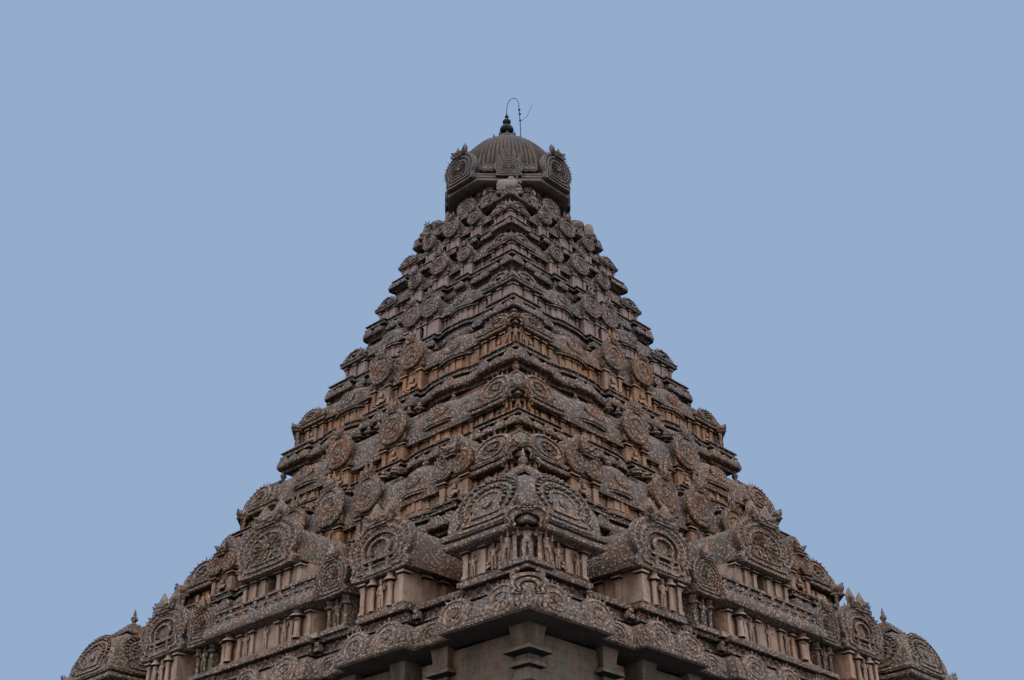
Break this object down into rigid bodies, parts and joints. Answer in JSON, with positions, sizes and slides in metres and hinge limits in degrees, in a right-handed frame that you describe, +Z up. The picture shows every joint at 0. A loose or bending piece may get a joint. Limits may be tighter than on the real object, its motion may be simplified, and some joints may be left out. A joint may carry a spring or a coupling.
{
  "type": "hindu temple tower, scale model at 1:2",
  "caption": "Stepped pyramidal granite temple tower on a square base, with rows of carved pavilions, a domed top and a metal finial; scale model at half size.",
  "frame": {"origin": "centre of the square base, on the ground", "axes": "+Z up; each face of the square looks along X or Y; the doorway and its steps are on the +Y side"},
  "size_m": [16.9, 16.9, 27.9015],
  "materials": {
    "base_stone": "matte, weathered granite",
    "wall_stone": "matte, dressed granite",
    "roof_stone": "matte, carved and weathered granite",
    "pale_stone": "matte, carved granite",
    "finial_metal": "dark tarnished",
    "rod_metal": "dull, weathered"
  },
  "bodies": {
    "root": {"subbase": "base_stone", "plinth": "base_stone", "entrance_steps": "base_stone", "middle_cornice": "base_stone", "lower_wall_south": "wall_stone", "upper_wall_south": "wall_stone", "lower_wall_east": "wall_stone", "upper_wall_east": "wall_stone", "lower_wall_north_a": "wall_stone", "lower_wall_north_b": "wall_stone", "door_lintel": "wall_stone", "upper_wall_north": "wall_stone", "lower_wall_west": "wall_stone", "upper_wall_west": "wall_stone", "chamber_ceiling": "base_stone", "main_cornice": "roof_stone", "corner_pavilion_1": "roof_stone", "central_pavilion_1": "roof_stone", "side_pavilion_1_a": "roof_stone", "side_pavilion_1_b": "roof_stone", "corner_pavilion_2": "roof_stone", "central_pavilion_2": "roof_stone", "side_pavilion_2_a": "roof_stone", "side_pavilion_2_b": "roof_stone", "corner_pavilion_3": "roof_stone", "central_pavilion_3": "roof_stone", "side_pavilion_3_a": "roof_stone", "side_pavilion_3_b": "roof_stone", "corner_pavilion_4": "roof_stone", "central_pavilion_4": "roof_stone", "side_pavilion_4_a": "roof_stone", "side_pavilion_4_b": "roof_stone", "second_storey_wall": "wall_stone", "second_storey_pavilions": "roof_stone", "third_storey_wall": "wall_stone", "third_storey_pavilions": "roof_stone", "fourth_storey_wall": "wall_stone", "fourth_storey_pavilions": "roof_stone", "fifth_storey_wall": "wall_stone", "fifth_storey_pavilions": "roof_stone", "sixth_storey_wall": "wall_stone", "sixth_storey_pavilions": "roof_stone", "seventh_storey_wall": "wall_stone", "seventh_storey_pavilions": "roof_stone", "top_platform": "wall_stone", "bull_1": "pale_stone", "bull_2": "pale_stone", "bull_3": "pale_stone", "bull_4": "pale_stone", "neck": "wall_stone", "dome": "roof_stone", "finial": "finial_metal", "lightning_rod": "rod_metal"}
  },
  "joints": []
}
